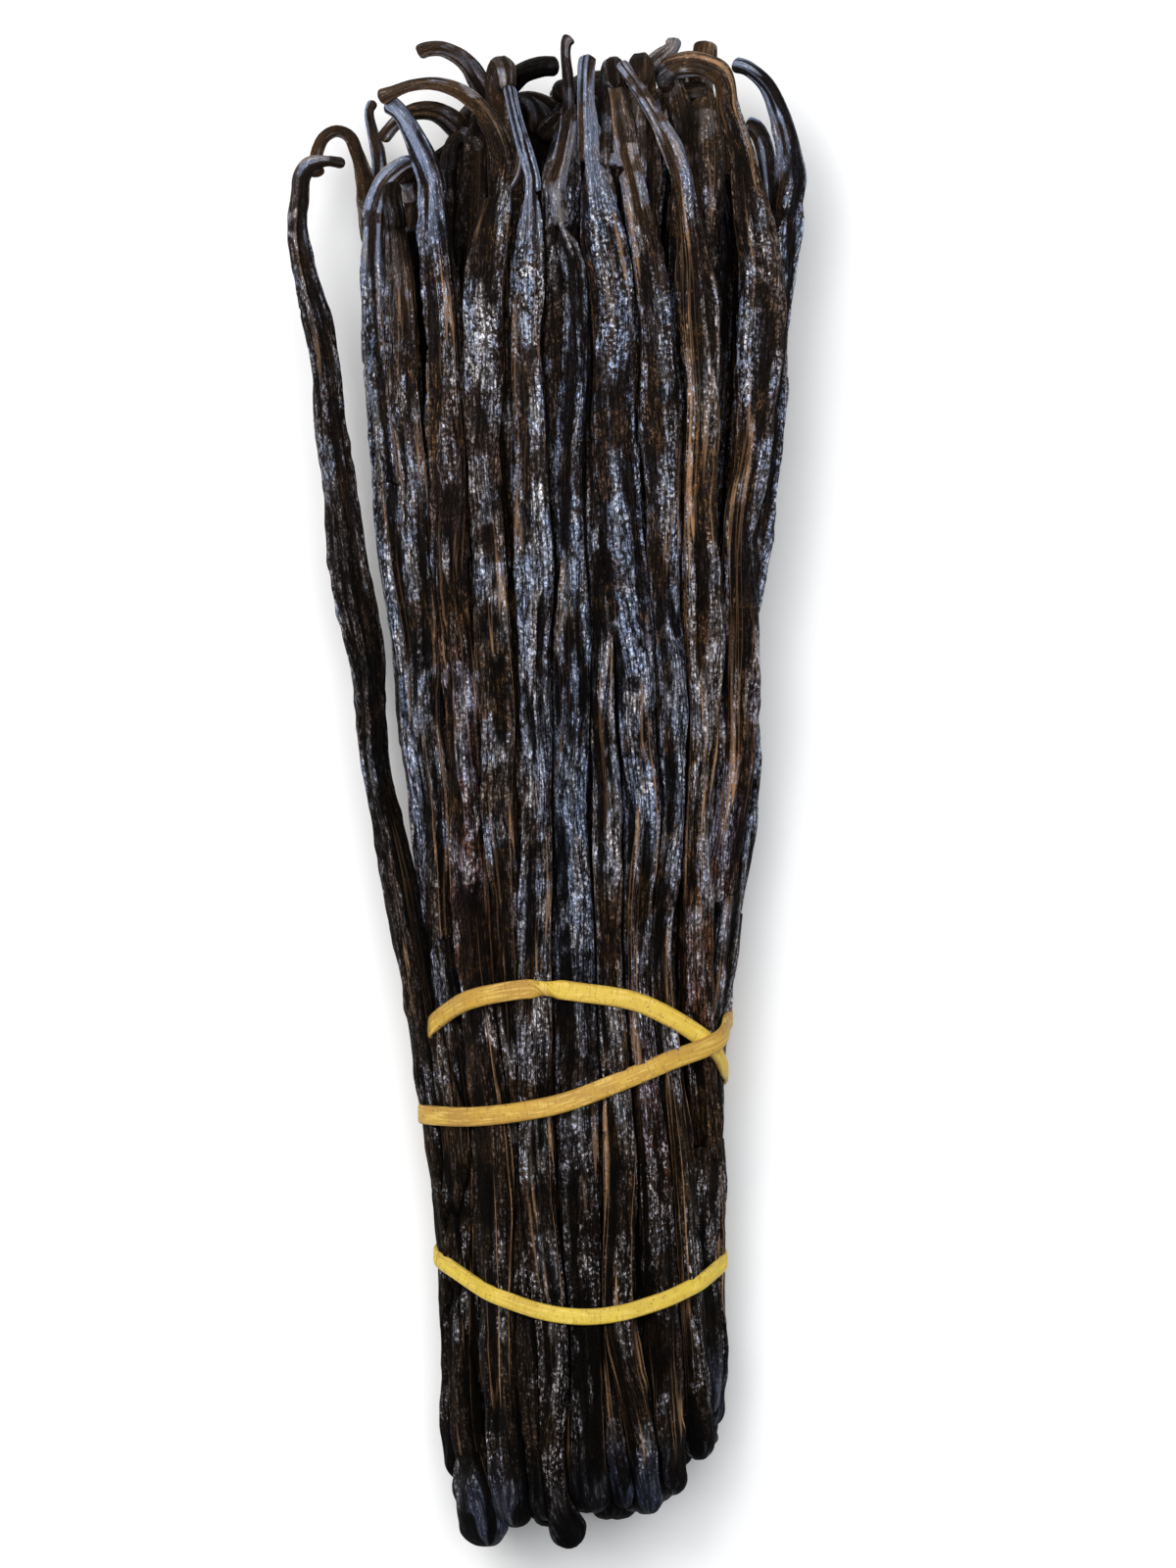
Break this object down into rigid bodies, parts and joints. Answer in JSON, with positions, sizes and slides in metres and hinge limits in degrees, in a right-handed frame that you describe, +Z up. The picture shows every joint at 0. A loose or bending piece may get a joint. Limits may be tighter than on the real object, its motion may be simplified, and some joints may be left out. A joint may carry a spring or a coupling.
{
  "type": "vanilla pod bundle",
  "caption": "Bundle of long cured vanilla pods with hooked stem ends, tied with flat rubber bands and lying on its side.",
  "frame": {"origin": "middle of the bounding box's bottom face, on the table that the bundle lies on", "axes": "+Y along the bundle from the blunt ends to the hooked stem ends, +Z up, +X to the side that the stray pod isn't on"},
  "size_m": [0.0694, 0.2013, 0.0336],
  "materials": {
    "pod_skin": "wrinkled, oily satin",
    "upper_rubber": "matte, slightly dusty",
    "lower_rubber": "matte, slightly dusty"
  },
  "bodies": {
    "root": {"pods": "pod_skin", "band_upper": "upper_rubber", "band_lower": "lower_rubber"}
  },
  "joints": []
}
